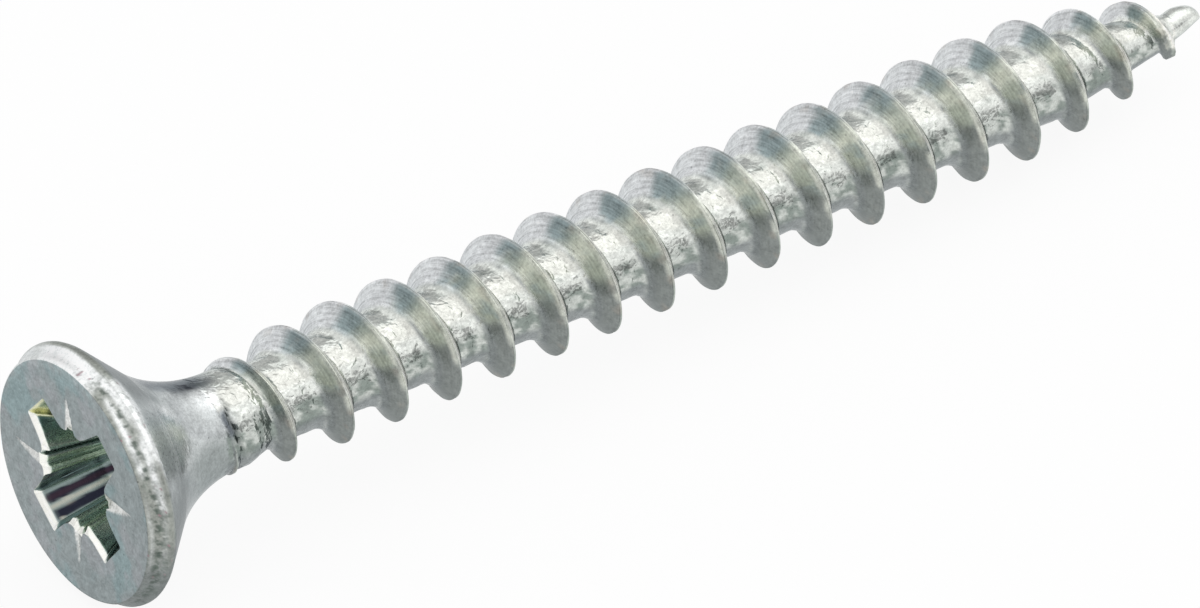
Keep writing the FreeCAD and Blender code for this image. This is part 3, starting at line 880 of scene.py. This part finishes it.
# %% Tones of the roots
ROOT_TONE, DENT_AND_SHADE_TONE, LOW_ROOT_SHADE_TONE = (0.76, 0.785, 0.745), (0.24, 0.28, 0.255), (0.22, 0.24, 0.245)
WARM_REFLECTION_TONE = (0.66, 0.66, 0.61)
threaded = on_shank & (distance > 4.3)
low_root = threaded * (1 - ramp(ridge, 0.05, 0.3)) * (1 - 0.8 * ramp(distance, 38.3, 38.8))
patches = bumps(skin, 0.24, 41) + 0.5 * bumps(skin, 0.1, 42)
paint(ROOT_TONE, on_shank * ramp(distance, 4.3, 5.0))
paint(DENT_AND_SHADE_TONE, low_root * ramp(patches, 0.45, 0.8), 0.35)
# Painted shade: dents gathered by turn towards the lower edge and near the top, then the lower edge itself; a
# warm painted reflection at the front.
paint(DENT_AND_SHADE_TONE, low_root * around(287, 330, 16) * (0.35 + 0.6 * ramp(patches, -0.4, 0.3)))
paint(DENT_AND_SHADE_TONE, low_root * around(176, 214, 20) * ramp(patches, -0.3, 0.6), 0.12)
paint(DENT_AND_SHADE_TONE, low_root * around(214, 235, 8) * (0.1 + 0.2 * ramp(patches, -0.4, 0.4)))
paint(LOW_ROOT_SHADE_TONE, low_root * around(322, 400, 16), 0.85)
paint(WARM_REFLECTION_TONE, low_root * around(234, 264, 12), 0.7)
print("points in the roots:", int((low_root > 0.5).sum()))

# %% [markdown]
# Going round a flank on the head's side, the painted reflection goes from a light lilac over teal and cream
# to olive, with painted shade below. At its foot it has a painted highlight at the front and painted shade
# below. The flank on the point's side is grey, except at the front, where it stays as bright as the root, a
# painted highlight.

# %% Tones of the flanks
LILAC_REFLECTION_TONE, TEAL_REFLECTION_TONE, GREY_TONE = (0.70, 0.72, 0.73), (0.29, 0.355, 0.365), (0.36, 0.40, 0.36)
CREAM_LINE_REFLECTION_TONE, OLIVE_REFLECTION_TONE, LOW_SHADE_TONE = (0.545, 0.575, 0.50), (0.39, 0.43, 0.37), (0.24, 0.26, 0.25)
FOOT_SHADE_TONE = (0.19, 0.21, 0.215)
head_side = threaded * (across < 0) * ramp(ridge, 0.12, 0.20)
foot = 1 - ramp(ridge, 0.25, 0.55)
mottle = bumps(skin, 0.4, 43) + 0.5 * bumps(skin, 0.15, 44)
paint(GREY_TONE, head_side)
# Painted reflection by turn: light lilac above, teal, cream and olive at the front, and painted shade below.
paint(LILAC_REFLECTION_TONE, head_side * around(120, 217, 24))
paint(TEAL_REFLECTION_TONE, head_side * around(208, 235, 16) * ramp(mottle + 1.6 * ridge, -0.3, 1.0))
paint(CREAM_LINE_REFLECTION_TONE, head_side * around(243, 263, 15) * ramp(mottle, -1.1, 0.3))
paint(OLIVE_REFLECTION_TONE, head_side * around(261, 286, 14))
paint(TEAL_REFLECTION_TONE, head_side * around(258, 292, 16) * ramp(mottle, 0.1, 0.7), 0.6)
paint(LOW_SHADE_TONE, head_side * around(285, 410, 16))
# At the foot: a painted highlight at the front and painted shade below.
paint(ROOT_TONE, head_side * foot * around(233, 262, 12), 0.3)
paint(FOOT_SHADE_TONE, head_side * foot * around(278, 360, 16), 0.6)
paint(GREY_TONE, threaded * (across > 0) * ramp(ridge, 0.3, 0.7) * (1 - around(222, 305, 24)), 0.85)
print("points on the head's side of the ridge:", int((head_side > 0.5).sum()))

# %% [markdown]
# The crest is a narrow band of painted reflection, light above, teal and then cream at the front, with painted
# shade in its lap, and brown stains reach down from it here and there. The flank on the point's side is
# painted nearly white at the front, a painted highlight. At the foot of the ridge, on the head's side, a line
# of painted shade and a painted highlight follow each other, where the hollow begins.

# %% Tones of crest and foot
CREST_HIGHLIGHT_TONE, TEAL_CREST_REFLECTION_TONE, CREAM_CREST_REFLECTION_TONE = (0.78, 0.79, 0.80), (0.45, 0.49, 0.49), (0.64, 0.66, 0.59)
POINT_SIDE_HIGHLIGHT_TONE, STAIN_TONE = (1.0, 0.98, 0.92), (0.42, 0.36, 0.30)
crest = threaded * ramp(ridge, 0.93, 0.98)
crest_band = threaded * ramp(ridge, 0.88, 0.95)
point_side = threaded * (across > 0.05) * ramp(ridge, 0.01, 0.06)
lap_place = across - 0.012 - 0.012 * np.sin(14 * np.pi * turn)
lap = crest * np.exp(-((lap_place / 0.022) ** 2))
broken = spots(0.5, 49, -0.4, 0.3)
foot_shade_line = threaded * (across < 0) * np.exp(-(((ridge - 0.13 - 0.02 * mottle) / 0.028) ** 2))
foot_highlight = threaded * (across < 0) * np.exp(-(((ridge - 0.20 - 0.03 * mottle) / 0.04) ** 2))
# Painted reflection along the crest by turn, a painted highlight on the point's side at the front, then
# painted shade in the lap and at the foot with a painted highlight beside it.
paint(CREST_HIGHLIGHT_TONE, crest * around(120, 214, 14))
paint(TEAL_CREST_REFLECTION_TONE, crest * around(214, 236, 10))
paint(CREAM_CREST_REFLECTION_TONE, crest_band * around(236, 308, 12) * spots(0.3, 48, -0.8, 0.1), 0.9)
paint(POINT_SIDE_HIGHLIGHT_TONE, point_side * around(232, 314, 16), 0.9)
paint(STAIN_TONE, threaded * ramp(ridge, 0.6, 0.9) * spots(0.3, 45, 0.35, 0.7), 0.3)
paint(FOOT_SHADE_TONE, lap * around(222, 330, 20) * broken, 0.5)
paint(FOOT_SHADE_TONE, foot_shade_line * around(200, 330, 20) * (0.3 + 0.5 * broken))
paint(PAINTED_HIGHLIGHT_TONE, foot_highlight * around(140, 275, 20) * broken, 0.45)
print("points on the crest:", int((crest > 0.5).sum()))

# %% [markdown]
# Just before the thread the neck shows the studio's reflection once more, painted: a painted highlight, a
# painted dark band with flecks above it, a painted dark blotch below it, and the crack as a black line of
# painted shade.

# %% Tones beside the crack
CRACK_SHADE_TONE, CRACK_TURN = (0.04, 0.05, 0.05), -0.23
beside = step_crack(distance, turn)[0]
before_crack = ramp(distance, 3.3, 4.1) * (1 - ramp(beside, -0.1, 0.0))
blotch = np.exp(-(((beside + 0.16) / 0.13) ** 2)) * (distance > 3)
crack = np.exp(-(((turn - CRACK_TURN) / 0.09) ** 4) - ((beside + 0.01) / 0.055) ** 2)
# A painted highlight, painted dark reflections with flecks, and painted shade in the crack.
paint(PAINTED_HIGHLIGHT_TONE, before_crack * around(229, 254, 18), 0.55)
paint(DARK_REFLECTION_TONE, blotch * around(262, 294, 10))
paint(DARK_REFLECTION_TONE, between(4.2, 4.8, 0.3, 0.3) * around(186, 222, 12), 0.5)
paint(NAVY_REFLECTION_TONE, between(3.8, 4.0, 0.2, 0.2) * spots(0.12, 33, 0.0, 0.3) * around(210, 226, 6), 0.8)
paint(CRACK_SHADE_TONE, on_shank * crack)
print("film from", film.min(axis=0).round(2), "to", film.max(axis=0).round(2))

# %% [markdown]
# The other values of a point say how matt it is, how deep its dents are, how strongly the lines of the
# rolling show, and how mottled it is. The grain is a place in a space where the lines run round the screw: it
# changes quickly with the radius and slowly with the turn.

# %% Roughness, relief and grain for the shader
matt = np.where(on_recess, 0.24, np.where(on_face, 0.40, np.where(rim, 0.38, 0.30)))
matt = np.where(on_shank, 0.18 + 0.16 * ramp(ridge, 0.1, 0.4), matt)
matt = matt + 0.3 * point_side
in_root = (1 - ramp(ridge, 0.05, 0.4)) * (1 - 0.8 * ramp(distance, 38.2, 38.8))
pitted = np.where(threaded, 0.12 + 0.6 * in_root * root_calm(distance), 0.08)
pitted = pitted + (0.7 * belt(0.30, 0.15) + 0.25) * rim * around(228, 400, 20)
lined = np.where(threaded, ramp(ridge, 0.1, 0.3) * (1 - 0.65 * around(275, 420, 40)), 0.25)
mottled = np.where(on_recess, 0.2, np.where(on_face, 1.1, 1.0))
grain = np.stack([radius * 16, np.cos(2 * np.pi * turn), np.sin(2 * np.pi * turn)], axis=-1)
grain[:, 1:] *= np.maximum(radius, 0.4)[:, None]


def store(mesh, name, kind, values):
    """Writes one value per point into a named attribute of the mesh."""
    layer = mesh.attributes.new(name, kind, "POINT")
    key = {"FLOAT": "value", "FLOAT_VECTOR": "vector", "FLOAT_COLOR": "color"}[kind]
    layer.data.foreach_set(key, np.ascontiguousarray(values[used], np.float32).ravel())


store(screw.data, "film", "FLOAT_COLOR", np.column_stack([film, np.ones(len(film))]))
store(screw.data, "grain", "FLOAT_VECTOR", grain)
for name, values in (("matt", matt), ("pitted", pitted), ("lined", lined), ("mottled", mottled)):
    store(screw.data, name, "FLOAT", values)
print("attributes:", [layer.name for layer in screw.data.attributes])

# %% [markdown]
# The shader is one metal. Its colour is the painted tone, painted light included, made uneven by a fine noise,
# a cloudy one and the lines of the rolling, with small dark specks. Its relief is a sum of three grains: a
# fine one all over, dents where the roots are pitted, and lines that follow the rolling.
# A short helper adds a node and plugs in its inputs, so that the tree can be read from top to bottom.

# %% Tools for materials
zinc = bpy.data.materials.new("zinc_plate")
zinc.use_nodes = True
tree = zinc.node_tree


def add(kind, **values):
    """A new node; a keyword names a setting or an input, whose value may be another node's output."""
    fresh = tree.nodes.new("ShaderNode" + kind)
    for key, value in values.items():
        if key.startswith("set_"):
            setattr(fresh, key[4:], value)
            continue
        socket = fresh.inputs[int(key[3:])] if key.startswith("in_") else fresh.inputs[key.replace("_", " ")]
        if isinstance(value, bpy.types.NodeSocket):
            tree.links.new(value, socket)
        else:
            socket.default_value = value
    return fresh


def combine(operation, first, second):
    """Output of a maths node."""
    return add("Math", set_operation=operation, in_0=first, in_1=second).outputs[0]


def stored(name, output="Fac"):
    """What was stored for the points under this name."""
    return add("Attribute", set_attribute_name=name).outputs[output]


def centred(noise, height):
    """A noise moved to lie around 0 and multiplied by this height."""
    return combine("MULTIPLY", combine("SUBTRACT", noise, 0.5), height)


print("first nodes:", [node.name for node in tree.nodes])

# %% [markdown]
# Object coordinates are in metres, so a scale of 14000 makes grains of about seven hundredths of a
# millimetre, finer than the faces. The lines read the stored grain instead, because they have to run round
# with the thread.

# %% Noises of the zinc
where = add("TexCoord").outputs["Object"]
fine = add("TexNoise", Vector=where, Scale=14000.0, Detail=2.0, Roughness=0.55).outputs["Fac"]
dents = add("TexNoise", Vector=where, Scale=4600.0, Detail=1.5, Roughness=0.5, Distortion=0.4).outputs["Fac"]
cloud = add("TexNoise", Vector=where, Scale=4200.0, Detail=3.0, Roughness=0.65, Distortion=0.3).outputs["Fac"]
lines = add("TexNoise", Vector=stored("grain", "Vector"), Scale=1.0, Detail=3.0, Roughness=0.6).outputs["Fac"]
specks = add("TexVoronoi", Vector=where, Scale=2600.0, Randomness=1.0).outputs["Distance"]
speck = add("MapRange", Value=specks, From_Min=0.04, From_Max=0.10, To_Min=0.6, To_Max=1.0).outputs["Result"]
mottle_share, line_share, pit_share = stored("mottled"), stored("lined"), stored("pitted")
print(len(tree.nodes), "nodes so far")

# %% [markdown]
# The noises are joined to one tone and one height. The tone multiplies the painted film, and the height tilts
# the light on the surface, which costs no faces. A little of the fine noise also goes into the roughness, so
# that no highlight is quite clean. Plating is darker where it is seen at a grazing angle, hence the tint.

# %% Zinc plate
BUMP_HEIGHT = 0.02 * MM
GRAZING_TINT = (0.72, 0.74, 0.75, 1.0)
shader = tree.nodes["Principled BSDF"]
shade = combine("MULTIPLY", combine("ADD", centred(fine, 0.7), centred(cloud, 0.8)), mottle_share)
shade = combine("ADD", combine("ADD", shade, 1.03), combine("MULTIPLY", centred(lines, 1.3), line_share))
shade = combine("MULTIPLY", shade, speck)
tone = add("VectorMath", set_operation="SCALE", in_0=stored("film", "Color"), in_3=shade)
height = combine("MULTIPLY", combine("MULTIPLY", fine, mottle_share), 0.2)
height = combine("ADD", height, combine("MULTIPLY", combine("MULTIPLY", dents, pit_share), 3.5))
height = combine("ADD", height, combine("MULTIPLY", combine("MULTIPLY", lines, line_share), 0.25))
relief = add("Bump", Height=height, Strength=1.0, Distance=BUMP_HEIGHT)
tree.links.new(tone.outputs[0], shader.inputs["Base Color"])
tree.links.new(combine("ADD", stored("matt"), centred(fine, 0.2)), shader.inputs["Roughness"])
tree.links.new(relief.outputs["Normal"], shader.inputs["Normal"])
shader.inputs["Metallic"].default_value = 1.0
shader.inputs["Specular Tint"].default_value = GRAZING_TINT
screw.data.materials.append(zinc)
print(len(tree.nodes), "nodes in the zinc plate")

# %% [markdown]
# The table is one large pale plane at the height where the screw rests. The camera and the mirror-like metal
# see nine tenths of it as a glow at a strength of 1, which keeps the picture's ground white; the last tenth
# is plain diffuse white, which shows a faint shadow. All other light meets the plain white alone.

# %% Floor
FLOOR = -(RIM_END * math.sin(TILT) + HEAD_RADIUS * math.cos(TILT)) * MM
FLOOR_REACH = 4.0
GLOW_SHARE = 0.9
side = np.array([(-1, -1), (1, -1), (1, 1), (-1, 1)]) * FLOOR_REACH
floor = make_object("floor", np.column_stack([side, np.full(4, FLOOR)]), [np.array([[0, 1, 2, 3]])])
table = bpy.data.materials.new("white_table")
table.use_nodes = True
tree = table.node_tree
tree.nodes.clear()
rays = add("LightPath").outputs
seen = combine("MAXIMUM", rays["Is Camera Ray"], rays["Is Glossy Ray"])
seen = combine("MAXIMUM", seen, rays["Is Transmission Ray"])
plain = add("BsdfDiffuse", Color=(0.92, 0.92, 0.92, 1)).outputs[0]
glow = add("Emission", Color=(1, 1, 1, 1), Strength=1.0).outputs[0]
mixed = add("MixShader", in_0=combine("MULTIPLY", seen, GLOW_SHARE), in_1=plain, in_2=glow).outputs[0]
add("OutputMaterial", Surface=mixed)
floor.data.materials.append(table)
print("floor at", round(FLOOR / MM, 4), "mm")

# %% [markdown]
# The camera looks at the head from in front and above, with a long lens, as the picture was taken.

# %% Camera
VIEW_HEADING, VIEW_DROP, VIEW_BACK = math.radians(-35.7601), math.radians(41.0309), 566.242
VIEW_RIGHT, VIEW_UP = 14.9024, 5.0284
right = Vector((math.cos(VIEW_HEADING), math.sin(VIEW_HEADING), 0))
ahead = Vector((-math.sin(VIEW_HEADING) * math.cos(VIEW_DROP), math.cos(VIEW_HEADING) * math.cos(VIEW_DROP),
                -math.sin(VIEW_DROP)))
above = right.cross(ahead)
lens = bpy.data.cameras.new("camera")
lens.lens = 600
lens.sensor_width = 36
camera = bpy.data.objects.new("camera", lens)
bpy.context.scene.collection.objects.link(camera)
spot = (right * VIEW_RIGHT + above * VIEW_UP - ahead * VIEW_BACK) * MM
camera.matrix_world = Matrix.Translation(spot) @ Matrix((right, above, -ahead)).transposed().to_4x4()
bpy.context.scene.camera = camera
print("camera at", [round(part, 4) for part in camera.location])

# %% [markdown]
# Metal shows what is around it, so the studio matters more than the lamp. The world is a pale sky that is a
# little greyer near the table. On it lie soft round patches: one bright and high, like a large softbox, and
# three darker and lower, like the gaps between the screens of a studio, which give the metal its dark bands.
# A patch has a heading, a height, an outer and an inner reach, all in degrees, and a strength.

# %% World
PATCHES = [(-2, 57, 36, 16, 1.35), (58, 20, 36, 14, 0.6), (142, 5, 30, 12, 0.85), (-60, 5, 20, 8, 0.45)]
world = bpy.data.worlds.new("studio")
world.use_nodes = True
tree = world.node_tree
towards = add("TexCoord").outputs["Generated"]
sky = add("ValToRGB", Fac=add("SeparateXYZ", Vector=towards).outputs["Z"])
bands = sky.color_ramp.elements
bands[0].position, bands[0].color = 0.02, (0.77, 0.77, 0.78, 1)
bands[1].position, bands[1].color = 0.45, (1.0, 1.0, 1.0, 1)


def way_of(heading, height):
    """Unit direction from a heading and a height in degrees."""
    flat = math.cos(math.radians(height))
    return (flat * math.cos(math.radians(heading)), flat * math.sin(math.radians(heading)),
            math.sin(math.radians(height)))


def patch_level(heading, height, outer_reach, inner_reach, strength):
    """The patch's strength within its inner reach, 1 beyond its outer reach, and an S-curve between them."""
    near = add("VectorMath", set_operation="DOT_PRODUCT", in_0=towards, in_1=way_of(heading, height))
    outer_edge, inner_edge = math.cos(math.radians(outer_reach)), math.cos(math.radians(inner_reach))
    fade = add("MapRange", set_interpolation_type="SMOOTHSTEP", Value=near.outputs["Value"],
               From_Min=outer_edge, From_Max=inner_edge, To_Min=1.0, To_Max=strength)
    return fade.outputs["Result"]


level = 1.0
for patch in PATCHES:
    level = combine("MULTIPLY", level, patch_level(*patch))
lit = add("VectorMath", set_operation="SCALE", in_0=sky.outputs["Color"], in_3=level).outputs[0]
tree.links.new(lit, tree.nodes["Background"].inputs["Color"])
bpy.context.scene.world = world
bpy.context.scene.view_settings.view_transform = "Standard"
print(len(PATCHES), "patches in the studio")
